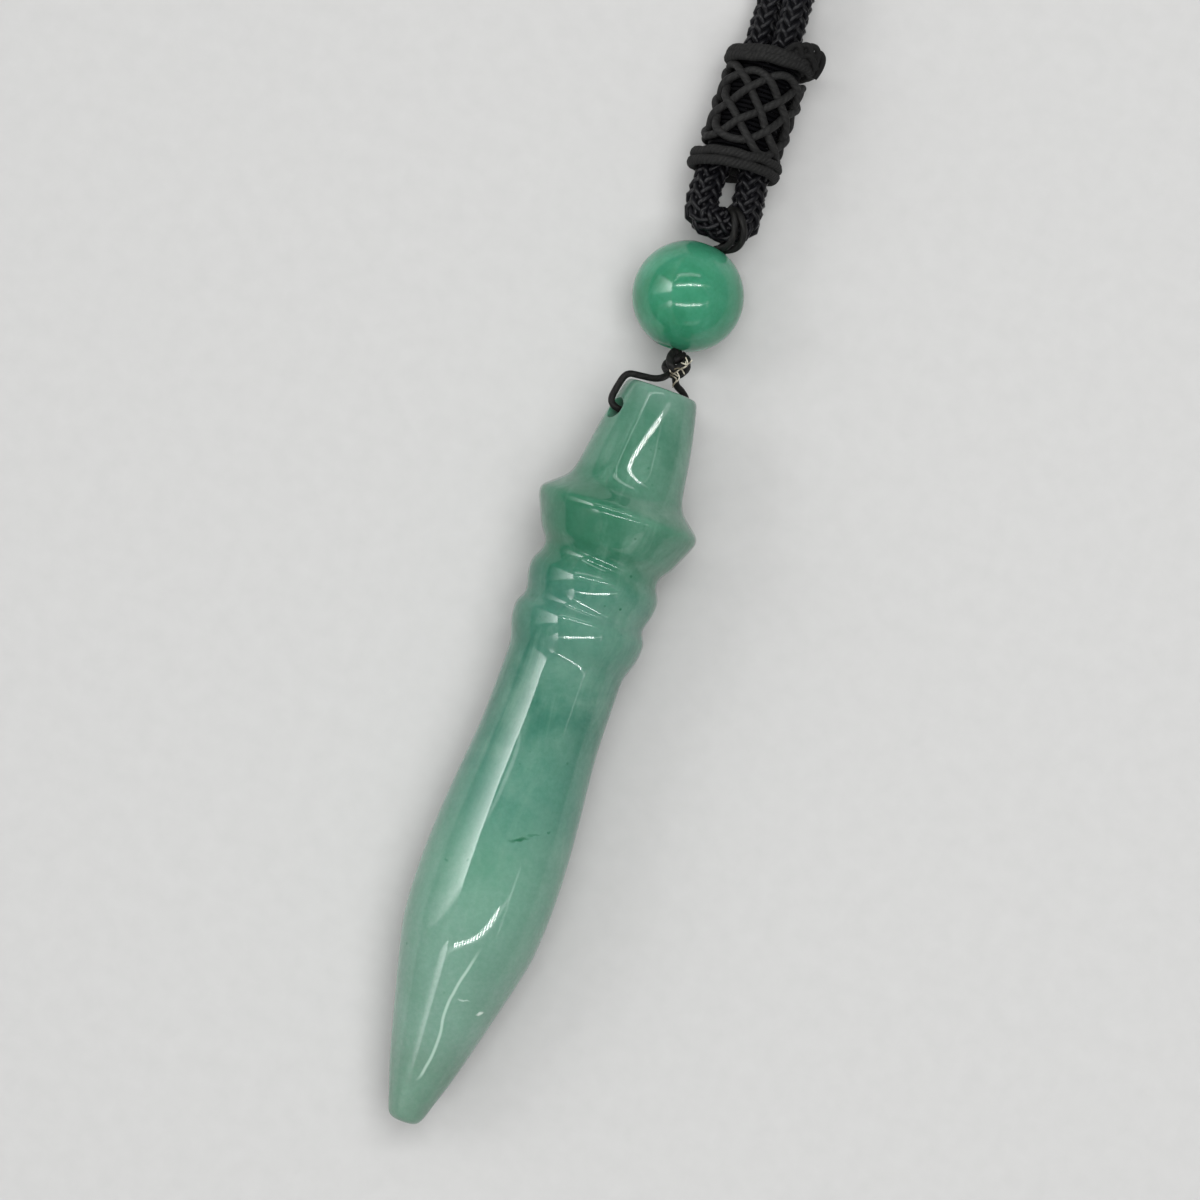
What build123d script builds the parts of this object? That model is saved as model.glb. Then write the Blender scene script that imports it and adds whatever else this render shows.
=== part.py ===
from build123d import *
import math
import os

# Crystal drop on a black braided cord, lying on a flat surface. Millimetres.
# +Y runs up the stone towards the cord, +Z is up, the surface is Z = 0 and the
# origin is the middle of the footprint.

# Stone: a turned drop with a tapered neck, a flange, two rings and a pointed bulb
stone_length = 55.0
neck_top_radius = 2.82
neck_foot_radius = 3.72
flange_radius = 5.88
waist_radius = 4.18
ring_radius = 4.75
groove_radius = 4.45
shaft_radius = 4.19
bulb_radius = 5.06
nose_radius = 1.6
top_rounding = 0.6
foot_rounding = 1.6
flange_rounding = 0.9
flange_corner_share = 0.222
bulb_rounding = 26.0
neck_bore_radius = 0.8
neck_bore_depth = 2.4
neck_bore_turn = 30.0

# Where each feature of the stone lies, as a share of its length down from the top
neck_foot_share = 0.128
flange_share = 0.174
waist_share = 0.239
upper_ring_share = 0.278
groove_share = 0.309
lower_ring_share = 0.333
shaft_start_share = 0.376
shaft_end_share = 0.436
bulb_share = 0.673

# Bead, and the thin thread that hangs the stone from the cord
bead_radius = 4.0
bead_bore_radius = 0.9
bead_gap = 3.0
bead_offset = -0.56
fold_gap = 0.474
thread_radius = 0.25
thread_clearance = 0.1
thread_leg_spacing = 0.66
thread_bend = 0.45
thread_slant = 0.8
knot_radius = 0.65
knot_offset = 0.3
knot_drop = 1.4

# Braided cord, with the tight fold that the thread loops round
cord_radius = 1.15
fold_radius = 1.4
run_share = 0.45

# Woven sleeve: two ring knots with an openwork weave between them
sleeve_gap = 5.2
sleeve_offset = -0.55
sleeve_length = 9.3
sleeve_bore_radius = 2.7
sleeve_lift = 0.8
ring_knot_radius = 3.35
ring_knot_width = 1.4
ring_knot_rounding = 0.35
weave_radius = 3.12
weave_gap = 0.15
weave_columns = 7
weave_rows = 7
weave_strand = 0.56

# Plain join at the back, where the two ends of the cord meet
join_clearance = 0.07
join_wall = 0.58
join_length = 9.0
join_rounding = 0.4

# Where the stone's axis lies across the footprint
axis_x = 12.0

# Route of each half of the cord, from the middle of the fold to the join
left_route = [
    (11.9, -102.2, 4.15),
    (10.4, -102.2, 4.15),
    (9.95, -100.2, 4.15),
    (10.0, -98.7, 4.15),
    (10.0, -88.5, 3.27),
    (8.9, -83.8, 2.75),
    (6.6, -76.0, 1.75),
    (1.2, -63.0, 1.2),
    (-10.5, -45.0, 1.17),
    (-30.5, -23.0, 1.17),
    (-54.0, 5.0, 1.17),
    (-71.5, 41.0, 1.17),
    (-71.5, 84.0, 1.17),
    (-60.0, 123.0, 1.17),
    (-42.0, 152.0, 1.17),
    (-25.0, 164.5, 1.17),
    (-14.0, 168.0, 1.4),
    (-7.5, 168.0, 1.8),
    (-2.05, 168.0, 1.8),
]
right_route = [
    (11.95, -102.2, 4.15),
    (13.4, -102.2, 4.15),
    (13.45, -100.2, 4.15),
    (12.9, -98.7, 4.15),
    (12.9, -88.5, 3.27),
    (11.4, -83.8, 2.75),
    (9.4, -75.5, 1.75),
    (8.8, -61.5, 1.2),
    (17.5, -41.0, 1.17),
    (37.0, -18.5, 1.17),
    (58.5, 12.0, 1.17),
    (71.5, 50.0, 1.17),
    (71.5, 92.0, 1.17),
    (61.0, 128.5, 1.17),
    (41.0, 157.0, 1.17),
    (22.0, 165.5, 1.17),
    (10.5, 168.0, 1.4),
    (3.7, 168.0, 1.8),
    (-1.95, 168.0, 1.8),
]


def corner_radii(route):
    """Radius of each corner: the fold's own first, then as large as the two runs allow."""
    radii = [fold_radius]
    for before, corner, after in zip(route[1:], route[2:], route[3:]):
        run_in = Vector(*corner) - Vector(*before)
        run_out = Vector(*after) - Vector(*corner)
        half_turn = math.radians(run_in.get_angle(run_out)) / 2
        radii.append(run_share * min(run_in.length, run_out.length) / math.tan(half_turn))
    return radii


def on_stone(side, up, out):
    """Point in the model from one beside, along and above the stone's axis at its top."""
    return stone_plane.from_local_coords(Vector(side, up, out))


# The stone hangs below the bead, and the bead below the fold. The flange and the bulb both
# touch the surface, so the stone's axis dips towards the tip
flange_y = flange_share * stone_length
bulb_y = bulb_share * stone_length
stone_tilt = math.atan2(flange_radius - bulb_radius, bulb_y - flange_y)
fold_x, fold_y, fold_z = left_route[0]
top_y = fold_y - cord_radius - fold_gap - 2 * bead_radius - bead_gap
top_z = flange_radius * math.cos(stone_tilt) + flange_y * math.sin(stone_tilt)
stone_plane = Plane(
    origin=(axis_x, top_y, top_z),
    x_dir=(1, 0, 0),
    z_dir=(0, -math.sin(stone_tilt), math.cos(stone_tilt)),
)

# The nose and the bulb are two circles on one common tangent, the long taper
bulb_centre = (bulb_radius - bulb_rounding, -bulb_y)
nose_centre = (0, -(stone_length - nose_radius))
centre_step = (nose_centre[0] - bulb_centre[0], nose_centre[1] - bulb_centre[1])
taper = math.acos((bulb_rounding - nose_radius) / math.hypot(*centre_step))
taper = math.atan2(-centre_step[1], centre_step[0]) - taper


def on_circle(centre, radius, angle):
    """Point on a circle at an angle below the outward direction."""
    return (centre[0] + radius * math.cos(angle), centre[1] - radius * math.sin(angle))


with BuildPart() as pendant_stone:
    with BuildSketch(stone_plane):
        with BuildLine():
            FilletPolyline(
                (0, 0),
                (neck_top_radius, 0),
                (neck_foot_radius, -neck_foot_share * stone_length),
                (flange_radius + flange_corner_share * flange_rounding, -flange_y),
                (waist_radius, -waist_share * stone_length),
                radius=[top_rounding, foot_rounding, flange_rounding],
            )
            upper_ring = ThreePointArc(
                (waist_radius, -waist_share * stone_length),
                (ring_radius, -upper_ring_share * stone_length),
                (groove_radius, -groove_share * stone_length),
            )
            lower_ring = ThreePointArc(
                upper_ring @ 1,
                (ring_radius, -lower_ring_share * stone_length),
                (shaft_radius, -shaft_start_share * stone_length),
            )
            shaft = Line(lower_ring @ 1, (shaft_radius, -shaft_end_share * stone_length))
            swell_middle = (
                (shaft_radius + bulb_radius) / 2,
                -(shaft_end_share + bulb_share) / 2 * stone_length,
            )
            TangentArc(shaft @ 1, swell_middle, tangent=(0, -1))
            TangentArc((bulb_radius, -bulb_y), swell_middle, tangent=(0, 1))
            ThreePointArc(
                (bulb_radius, -bulb_y),
                on_circle(bulb_centre, bulb_rounding, taper / 2),
                on_circle(bulb_centre, bulb_rounding, taper),
            )
            Line(
                on_circle(bulb_centre, bulb_rounding, taper),
                on_circle(nose_centre, nose_radius, taper),
            )
            ThreePointArc(
                on_circle(nose_centre, nose_radius, taper),
                on_circle(nose_centre, nose_radius, (taper + math.pi / 2) / 2),
                (0, -stone_length),
            )
            Line((0, -stone_length), (0, 0))
        make_face()
    revolve(axis=Axis(stone_plane.origin, stone_plane.y_dir))
    bore_angle = math.radians(neck_bore_turn)
    bore_plane = Plane(
        origin=on_stone(0, -neck_bore_depth, 0),
        x_dir=stone_plane.y_dir,
        z_dir=stone_plane.x_dir * math.cos(bore_angle) - stone_plane.z_dir * math.sin(bore_angle),
    )
    with BuildSketch(bore_plane):
        Circle(neck_bore_radius)
    extrude(amount=2 * neck_foot_radius, both=True, mode=Mode.SUBTRACT)
pendant_stone.part.label = "pendant_stone"

bead_x = axis_x + bead_offset
bead_y = top_y + bead_gap + bead_radius
with BuildPart() as bead:
    with Locations((bead_x, bead_y, bead_radius)):
        Sphere(bead_radius)
    with BuildSketch(Plane(origin=(bead_x, bead_y, bead_radius), z_dir=(0, 1, 0))):
        Circle(bead_bore_radius)
    extrude(amount=2 * bead_radius, both=True, mode=Mode.SUBTRACT)
bead.part.label = "bead"

# One thread, knotted between the bead and the stone: its upper loop passes twice through the
# bead and round the cord's fold, its lower loop passes once through the neck of the stone
knot_x = axis_x + knot_offset
knot_y = top_y + bead_gap / 2 + thread_radius
knot_z = top_z - knot_drop
with BuildPart() as thread_knot:
    with Locations((knot_x, knot_y, knot_z)):
        Sphere(knot_radius)
thread_knot.part.label = "thread_knot"

leg_z = thread_leg_spacing / 2
round_cord = cord_radius + thread_radius + thread_clearance
thread_x = bead_x + bead_bore_radius - thread_radius - 2 * thread_clearance
knot_top = knot_y + knot_radius + thread_clearance
bead_foot = bead_y - bead_radius
bead_top = bead_y + bead_radius + thread_radius
slant_x = fold_x + thread_slant
upper_loop = [
    (knot_x, knot_top, bead_radius + leg_z),
    (thread_x, bead_foot, bead_radius + leg_z),
    (thread_x, bead_top, bead_radius + leg_z),
    (slant_x, fold_y - round_cord, fold_z + round_cord),
    (fold_x, fold_y + round_cord, fold_z + round_cord),
    (fold_x, fold_y + round_cord, fold_z - round_cord),
    (slant_x, fold_y - round_cord, fold_z - round_cord),
    (thread_x, bead_top, bead_radius - leg_z),
    (thread_x, bead_foot, bead_radius - leg_z),
    (knot_x, knot_top, bead_radius - leg_z),
]

# The lower loop runs over the rim of the neck, down its flanks and through the bore
thread_standoff = thread_radius + thread_clearance
rim_reach = neck_top_radius + thread_standoff
mouth_share = neck_bore_depth / (neck_foot_share * stone_length)
mouth_reach = neck_top_radius + mouth_share * (neck_foot_radius - neck_top_radius) + thread_standoff
bore_side = math.cos(bore_angle)
bore_out = -math.sin(bore_angle)
knot_side = knot_radius + thread_standoff
lower_loop = [
    Vector(knot_x - knot_side, knot_y, knot_z),
    on_stone(-rim_reach * bore_side, thread_standoff, -rim_reach * bore_out),
    on_stone(-mouth_reach * bore_side, -neck_bore_depth, -mouth_reach * bore_out),
    on_stone(mouth_reach * bore_side, -neck_bore_depth, mouth_reach * bore_out),
    on_stone(rim_reach * bore_side, thread_standoff, rim_reach * bore_out),
    Vector(knot_x + knot_side, knot_y, knot_z),
]


def tube(route, radii, radius):
    """Round tube along straight runs joined by tangent arcs."""
    with BuildPart() as piece:
        with BuildLine():
            path = FilletPolyline(*route, radius=radii)
        with BuildSketch(Plane(origin=path @ 0, z_dir=path % 0)):
            Circle(radius)
        sweep(path=path)
    expected = math.pi * radius**2 * path.length
    print(f"tube {path.length:.1f} mm, volume over expected {piece.part.volume / expected:.4f}")
    return piece


fold_thread = tube(upper_loop, thread_bend, thread_radius)
fold_thread.part.label = "fold_thread"
stone_thread = tube(lower_loop, thread_bend, thread_radius)
stone_thread.part.label = "stone_thread"

left_radii = corner_radii(left_route)
right_radii = corner_radii(right_route)
print("left radii", [round(radius, 1) for radius in left_radii])
print("right radii", [round(radius, 1) for radius in right_radii])
cord_left = tube(left_route, left_radii, cord_radius)
cord_left.part.label = "cord_left"
cord_right = tube(right_route, right_radii, cord_radius)
cord_right.part.label = "cord_right"

# The sleeve dips away from the bead, so that its far ring knot rests on the surface
sleeve_tilt = math.asin(sleeve_lift / sleeve_length)
sleeve_dir = Vector(0, math.cos(sleeve_tilt), -math.sin(sleeve_tilt))
sleeve_plane = Plane(
    origin=(
        axis_x + sleeve_offset,
        bead_y + bead_radius + sleeve_gap,
        ring_knot_radius * math.cos(sleeve_tilt) + sleeve_lift,
    ),
    x_dir=(1, 0, 0),
    z_dir=sleeve_dir,
)


def ring_knot(start):
    """Ring knot round the cord, its lower face at a distance along the sleeve."""
    with BuildPart() as ring:
        with BuildSketch(sleeve_plane.offset(start)):
            Circle(ring_knot_radius)
            Circle(sleeve_bore_radius, mode=Mode.SUBTRACT)
        extrude(amount=ring_knot_width)
        outer_edges = ring.edges().filter_by(GeomType.CIRCLE).group_by(SortBy.RADIUS)[-1]
        fillet(outer_edges, ring_knot_rounding)
    return ring


sleeve_lower_ring = ring_knot(0)
sleeve_lower_ring.part.label = "sleeve_lower_ring"
sleeve_upper_ring = ring_knot(sleeve_length - ring_knot_width)
sleeve_upper_ring.part.label = "sleeve_upper_ring"

# The weave's openings are the diamonds between crossing strands, in rows that step by half
weave_start = ring_knot_width + weave_gap
weave_height = sleeve_length - 2 * weave_start
weave_middle = (weave_radius + sleeve_bore_radius) / 2
row_pitch = (weave_height - weave_strand) / (weave_rows - 1)
cell_half_width = math.pi * weave_middle / weave_columns
cell_inset = weave_strand / 2 * math.hypot(cell_half_width, row_pitch) / (cell_half_width * row_pitch)
window_width = cell_half_width * (1 - cell_inset)
window_height = row_pitch * (1 - cell_inset)
with BuildPart() as sleeve_weave:
    with BuildSketch(sleeve_plane.offset(weave_start)):
        Circle(weave_radius)
        Circle(sleeve_bore_radius, mode=Mode.SUBTRACT)
    extrude(amount=weave_height)
    for row in range(weave_rows):
        row_plane = sleeve_plane.offset(weave_start + weave_strand / 2 + row * row_pitch)
        for column in range(weave_columns):
            angle = 2 * math.pi * (column + row % 2 / 2) / weave_columns
            radial = row_plane.x_dir * math.cos(angle) + row_plane.y_dir * math.sin(angle)
            centre = row_plane.origin + radial * weave_middle
            with BuildSketch(Plane(origin=centre, x_dir=sleeve_dir, z_dir=radial)):
                Polygon(
                    (window_height, 0),
                    (0, window_width),
                    (-window_height, 0),
                    (0, -window_width),
                )
    extrude(amount=weave_radius - sleeve_bore_radius, both=True, mode=Mode.SUBTRACT)
sleeve_weave.part.label = "sleeve_weave"

join_bore_radius = cord_radius + join_clearance
with BuildPart() as back_join:
    with BuildSketch(Plane(origin=left_route[-1], z_dir=(1, 0, 0))):
        Circle(join_bore_radius + join_wall)
        Circle(join_bore_radius, mode=Mode.SUBTRACT)
    extrude(amount=join_length / 2, both=True)
    fillet(back_join.edges().filter_by(GeomType.CIRCLE).group_by(SortBy.RADIUS)[-1], join_rounding)
back_join.part.label = "back_join"

os.makedirs("parts", exist_ok=True)
export_step(pendant_stone.part, "parts/pendant_stone.step")
export_step(bead.part, "parts/bead.step")
export_step(thread_knot.part, "parts/thread_knot.step")
export_step(fold_thread.part, "parts/fold_thread.step")
export_step(stone_thread.part, "parts/stone_thread.step")
export_step(cord_left.part, "parts/cord_left.step")
export_step(cord_right.part, "parts/cord_right.step")
export_step(sleeve_lower_ring.part, "parts/sleeve_lower_ring.step")
export_step(sleeve_weave.part, "parts/sleeve_weave.step")
export_step(sleeve_upper_ring.part, "parts/sleeve_upper_ring.step")
export_step(back_join.part, "parts/back_join.step")
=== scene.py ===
import functools
import math

import bmesh
import bpy
import numpy as np
from mathutils import Matrix, Vector


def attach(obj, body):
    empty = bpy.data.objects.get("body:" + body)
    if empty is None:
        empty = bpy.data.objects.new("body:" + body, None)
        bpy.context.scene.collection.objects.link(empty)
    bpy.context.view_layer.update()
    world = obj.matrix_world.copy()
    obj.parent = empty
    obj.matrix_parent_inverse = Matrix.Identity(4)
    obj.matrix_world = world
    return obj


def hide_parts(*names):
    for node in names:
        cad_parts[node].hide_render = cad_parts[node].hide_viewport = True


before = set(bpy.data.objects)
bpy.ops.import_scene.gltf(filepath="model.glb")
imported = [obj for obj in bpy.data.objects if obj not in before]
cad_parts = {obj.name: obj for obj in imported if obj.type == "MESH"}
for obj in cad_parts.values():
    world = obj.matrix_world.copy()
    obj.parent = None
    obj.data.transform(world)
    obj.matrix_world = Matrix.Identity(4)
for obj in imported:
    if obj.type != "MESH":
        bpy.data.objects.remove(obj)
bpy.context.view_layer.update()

# The view: the necklace lies on a pale surface and is seen from above, as on a copy stand whose
# camera leans a little. It is lit inside a small white photo box, by two rows of lamps across its
# roof, one each side of the camera's opening, and by its white walls, the left one the brightest.
mm = 0.001
view_centre = Vector((12.81, -130.39, 6.0)) * mm
view_turn = math.atan2(0.3349, 0.9423)
view_lean = math.radians(2.5)
view_width = 84.9 * mm
camera_height = 500.0 * mm
view_frame = Matrix.Rotation(view_turn, 3, "Z") @ Matrix.Rotation(view_lean, 3, "X")

camera = bpy.data.objects.new("camera", bpy.data.cameras.new("camera"))
camera.location = view_centre + view_frame @ Vector((0, 0, camera_height))
camera.rotation_euler = (view_lean, 0, view_turn)
camera.data.lens = camera.data.sensor_width * camera_height / view_width
camera.data.clip_start = 0.01
bpy.context.collection.objects.link(camera)
bpy.context.scene.camera = camera
bpy.context.scene.view_settings.view_transform = "Standard"


def new_material(name):
    """Empty material with a Principled shader. Gives the material, its nodes, links and shader."""
    material = bpy.data.materials.new(name)
    material.use_nodes = True
    nodes = material.node_tree.nodes
    return material, nodes, material.node_tree.links, nodes["Principled BSDF"]


def link_piece(name, mesh, material):
    """Object at the origin, of a mesh that holds its place, with its material."""
    piece = bpy.data.objects.new(name, mesh)
    mesh.materials.append(material)
    bpy.context.collection.objects.link(piece)
    return piece


def math_node(tree, operation, first, second):
    """Math node in a node tree. Each input is a socket or a number."""
    node = tree.nodes.new("ShaderNodeMath")
    node.operation = operation
    for place, value in enumerate((first, second)):
        if isinstance(value, (int, float)):
            node.inputs[place].default_value = value
        else:
            tree.links.new(value, node.inputs[place])
    return node.outputs[0]


def range_node(tree, value, start, end, low, high, steps="SMOOTHSTEP"):
    """Map range node, from low to high as the value goes from start to end."""
    node = tree.nodes.new("ShaderNodeMapRange")
    node.interpolation_type = steps
    tree.links.new(value, node.inputs["Value"])
    node.inputs["From Min"].default_value = start
    node.inputs["From Max"].default_value = end
    node.inputs["To Min"].default_value = low
    node.inputs["To Max"].default_value = high
    return node.outputs["Result"]


def colour_mix(tree, factor, first, second, blend="MIX"):
    """Mix node for two colours. Each of them is a socket, or a colour of four numbers."""
    node = tree.nodes.new("ShaderNodeMix")
    node.data_type = "RGBA"
    node.blend_type = blend
    tree.links.new(factor, node.inputs["Factor"])
    for name, value in (("A", first), ("B", second)):
        if isinstance(value, tuple):
            node.inputs[name].default_value = value
        else:
            tree.links.new(value, node.inputs[name])
    return node.outputs["Result"]


floor_half = 3.0
surface, surface_nodes, surface_links, surface_shader = new_material("pale surface")
surface_place = surface_nodes.new("ShaderNodeTexCoord")
surface_grain = surface_nodes.new("ShaderNodeTexNoise")
surface_grain.inputs["Scale"].default_value = 700.0
surface_grain.inputs["Detail"].default_value = 4
surface_links.new(surface_place.outputs["Object"], surface_grain.inputs["Vector"])
surface_dark = (0.44, 0.44, 0.435, 1)
surface_pale = (0.485, 0.485, 0.48, 1)
surface_shade = colour_mix(surface.node_tree, surface_grain.outputs["Fac"], surface_dark, surface_pale)
surface_links.new(surface_shade, surface_shader.inputs["Base Color"])
surface_shader.inputs["Roughness"].default_value = 0.75
floor_shape = bmesh.new()
bmesh.ops.create_grid(floor_shape, x_segments=1, y_segments=1, size=floor_half)
floor_mesh = bpy.data.meshes.new("surface")
floor_shape.to_mesh(floor_mesh)
floor = link_piece("surface", floor_mesh, surface)

# Rows of small lamps across the roof, as slopes of the direction from the object: where the row's
# middle is, right and up, and how long and wide it is
roof_height = 700.0 * mm
lamps_in_row = 14
lamp_fill = 0.34
lamp_rows = {
    "far_lamps": {"right": 0.065, "up": 0.41, "length": 1.07, "width": 0.06, "watts": 1.4},
    "near_lamps": {"right": 0.03, "up": -0.35, "length": 1.06, "width": 0.06, "watts": 1.4},
}
for name, row in lamp_rows.items():
    spacing = row["length"] / lamps_in_row
    for number in range(lamps_in_row):
        lamp = bpy.data.lights.new(name, "AREA")
        lamp.shape = "RECTANGLE"
        lamp.size = spacing * lamp_fill * roof_height
        lamp.size_y = row["width"] * roof_height
        lamp.energy = row["watts"] / lamps_in_row
        lamp_holder = bpy.data.objects.new(f"{name}_{number}", lamp)
        across = row["right"] + (number + 0.5) * spacing - row["length"] / 2
        lamp_holder.location = view_centre + view_frame @ Vector((across, row["up"], 1)) * roof_height
        lamp_holder.rotation_euler = (view_lean, 0, view_turn)
        lamp_holder.visible_camera = False
        bpy.context.collection.objects.link(lamp_holder)

# A soft lamp overhead evens out the light. It isn't seen in the reflections.
fill_place = Vector((0.15, 0.1, 1))
fill_size = 450.0 * mm
fill = bpy.data.lights.new("fill_lamp", "AREA")
fill.size = fill_size
fill.energy = 3.5
fill_holder = bpy.data.objects.new("fill_lamp", fill)
fill_holder.location = view_centre + view_frame @ fill_place * roof_height
fill_holder.rotation_euler = (view_frame @ fill_place).to_track_quat("Z", "Y").to_euler()
fill_holder.visible_camera = False
fill_holder.visible_glossy = False
bpy.context.collection.objects.link(fill_holder)

world = bpy.data.worlds.new("photo box")
bpy.context.scene.world = world
world.use_nodes = True
box_nodes = world.node_tree.nodes
box_links = world.node_tree.links
box_math = functools.partial(math_node, world.node_tree)
box_ramp = functools.partial(range_node, world.node_tree)


def box_band(value, middle, half, soft):
    """One inside a band of a slope, with soft edges."""
    reach = box_math("ABSOLUTE", box_math("SUBTRACT", value, middle), 0.0)
    return box_ramp(reach, half + soft, half, 0, 1)


def box_product(*masks):
    """Product of the photo box's masks."""
    result = masks[0]
    for mask in masks[1:]:
        result = box_math("MULTIPLY", result, mask)
    return result


direction = box_nodes.new("ShaderNodeTexCoord").outputs["Generated"]
turned = box_nodes.new("ShaderNodeMapping")
turned.vector_type = "TEXTURE"
turned.inputs["Rotation"].default_value = (view_lean, 0, view_turn)
box_links.new(direction, turned.inputs["Vector"])
parts = box_nodes.new("ShaderNodeSeparateXYZ")
box_links.new(turned.outputs["Vector"], parts.inputs["Vector"])
least_height = 0.05
height = box_math("MAXIMUM", parts.outputs["Z"], least_height)
right = box_math("DIVIDE", parts.outputs["X"], height)
up = box_math("DIVIDE", parts.outputs["Y"], height)
left = box_math("MULTIPLY", right, -1.0)

# The left wall's light falls off with its slope, and it shines in a far and a near panel
wall_edge = 0.71
wall_light = 5.2
wall_fading = -1.7
wall_out = box_math("MAXIMUM", left, 0.1)
left_wall = box_math("MULTIPLY", box_math("POWER", wall_out, wall_fading), wall_light)
wall_turn = box_math("DIVIDE", up, wall_out)
far_panel = box_product(box_ramp(up, 0.12, 0.24, 0.04, 1), box_ramp(wall_turn, 0.84, 0.66, 0.08, 1))
near_panel = box_product(
    box_ramp(wall_turn, -0.28, -0.33, 0, 0.65),
    box_ramp(wall_turn, -0.75, -0.4, 0.08, 1),
    box_ramp(left, 1.2, 0.8, 0.3, 1),
)
left_slant = box_math("SUBTRACT", right, box_math("MULTIPLY", up, 1.16))
right_slant = box_math("ADD", right, box_math("MULTIPLY", up, 0.735))
left_edge = box_ramp(left, wall_edge - 0.012, wall_edge + 0.015, 0, 1)

# Strength and mask of each light: the left wall, three bright seams, the dim right wall, the two
# strips of roof that carry the lamps, and the far and near walls
box_lights = [
    (1.0, box_product(left_wall, left_edge, box_math("MAXIMUM", far_panel, near_panel))),
    (1.5, box_product(box_band(right, 0.88, 0.03, 0.05), box_band(up, -0.42, 0.15, 0.04))),
    (1.8, box_product(box_band(right_slant, 0.93, 0.015, 0.025), box_band(up, 0.2, 0.2, 0.04))),
    (4.0, box_product(box_band(left_slant, -1.353, 0.015, 0.03), box_band(up, 0.7, 0.16, 0.04))),
    (0.12, box_ramp(right, 0.9, 1.1, 0, 1)),
    (2.0, box_product(box_band(right, 0.15, 0.75, 0.25), box_band(up, 0.41, 0.025, 0.015))),
    (2.0, box_product(box_band(right, 0.1, 0.68, 0.2), box_band(up, -0.35, 0.025, 0.015))),
    (2.6, box_product(box_band(right, 0.02, 0.5, 0.15), box_band(up, 0.94, 0.09, 0.05))),
    (0.7, box_product(box_band(right, 0.25, 0.35, 0.3), box_band(up, -1.8, 0.25, 0.2))),
]
dim_light = 0.08
backdrop = 0.75
box_light = dim_light
for strength, mask in box_lights:
    box_light = box_math("ADD", box_light, box_math("MULTIPLY", mask, strength))
seen = box_nodes.new("ShaderNodeLightPath").outputs["Is Camera Ray"]
box_light = box_math("MULTIPLY", box_light, box_math("SUBTRACT", 1.0, seen))
box_light = box_math("ADD", box_light, box_math("MULTIPLY", seen, backdrop))
box_links.new(box_light, box_nodes["Background"].inputs["Strength"])
box_nodes["Background"].inputs["Color"].default_value = (1, 1, 1, 1)


# The cord: a round braid of sixteen glossy black strands over a dark core, 2.3 mm across. It is
# one loop, folded tight at the thread, and its two halves meet inside the fold and in the join
# at the back. Each strand is a curve that winds round the route and goes over two and under two.
cord_radius = 1.15 * mm
strand_radius = 0.21 * mm
strand_swing = 0.19 * mm
core_radius = 0.86 * mm
braid_pitch = 6.4 * mm
carriers = 8
strand_step = 0.33 * mm
core_every = 4

left_route = [
    (11.9, -102.2, 4.15),
    (10.3, -102.35, 4.15),
    (10.05, -100.6, 4.15),
    (10.1, -98.7, 4.1),
    (10.35, -96.6, 3.45),
    (10.4, -91.5, 2.95),
    (10.1, -88.5, 2.6),
    (10.0, -84.6, 2.3),
    (8.7, -79.5, 1.75),
    (5.6, -73.0, 1.3),
    (0.6, -62.0, 1.17),
    (-10.5, -45.0, 1.17),
    (-30.5, -23.0, 1.17),
    (-54.0, 5.0, 1.17),
    (-71.5, 41.0, 1.17),
    (-71.5, 84.0, 1.17),
    (-60.0, 123.0, 1.17),
    (-42.0, 152.0, 1.17),
    (-25.0, 164.5, 1.17),
    (-14.0, 168.0, 1.4),
    (-7.5, 168.0, 1.8),
    (-2.05, 168.0, 1.8),
]
right_route = [
    (11.95, -102.2, 4.15),
    (13.45, -102.35, 4.15),
    (13.3, -100.6, 4.15),
    (13.1, -98.7, 4.2),
    (12.55, -96.6, 4.6),
    (12.45, -91.5, 4.15),
    (12.0, -88.5, 4.05),
    (11.8, -84.6, 4.1),
    (11.2, -79.5, 3.0),
    (10.0, -73.0, 1.75),
    (9.3, -62.5, 1.2),
    (17.5, -41.0, 1.17),
    (37.0, -18.5, 1.17),
    (58.5, 12.0, 1.17),
    (71.5, 50.0, 1.17),
    (71.5, 92.0, 1.17),
    (61.0, 128.5, 1.17),
    (41.0, 157.0, 1.17),
    (22.0, 165.5, 1.17),
    (10.5, 168.0, 1.4),
    (3.7, 168.0, 1.8),
    (-1.95, 168.0, 1.8),
]


def spline_path(route, step):
    """Points along the smooth line of a route in millimetres, a step apart."""
    line = bpy.data.curves.new("route", "CURVE")
    line.dimensions = "3D"
    line.resolution_u = 40
    spline = line.splines.new("NURBS")
    spline.points.add(len(route) - 1)
    for point, place in zip(spline.points, route):
        point.co = (*(Vector(place) * mm), 1)
    spline.order_u = 3
    spline.use_endpoint_u = True
    holder = bpy.data.objects.new("route", line)
    mesh = bpy.data.meshes.new_from_object(holder)
    dense = np.array([vertex.co for vertex in mesh.vertices])
    bpy.data.objects.remove(holder)
    bpy.data.meshes.remove(mesh)
    travel = np.concatenate([[0], np.cumsum(np.linalg.norm(np.diff(dense, axis=0), axis=1))])
    wanted = np.linspace(0, travel[-1], max(2, round(travel[-1] / step)) + 1)
    return np.stack([np.interp(wanted, travel, dense[:, axis]) for axis in range(3)], axis=1)


def carried_frames(path):
    """Direction, normal and side at each point of a path, turned as little as possible."""
    forward = np.gradient(path, axis=0)
    forward /= np.linalg.norm(forward, axis=1, keepdims=True)
    normal = np.array([0.0, 0.0, 1.0])
    normals = []
    for direction_here in forward:
        normal = normal - direction_here * (normal @ direction_here)
        normal /= np.linalg.norm(normal)
        normals.append(normal)
    normals = np.array(normals)
    return forward, normals, np.cross(forward, normals)


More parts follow.
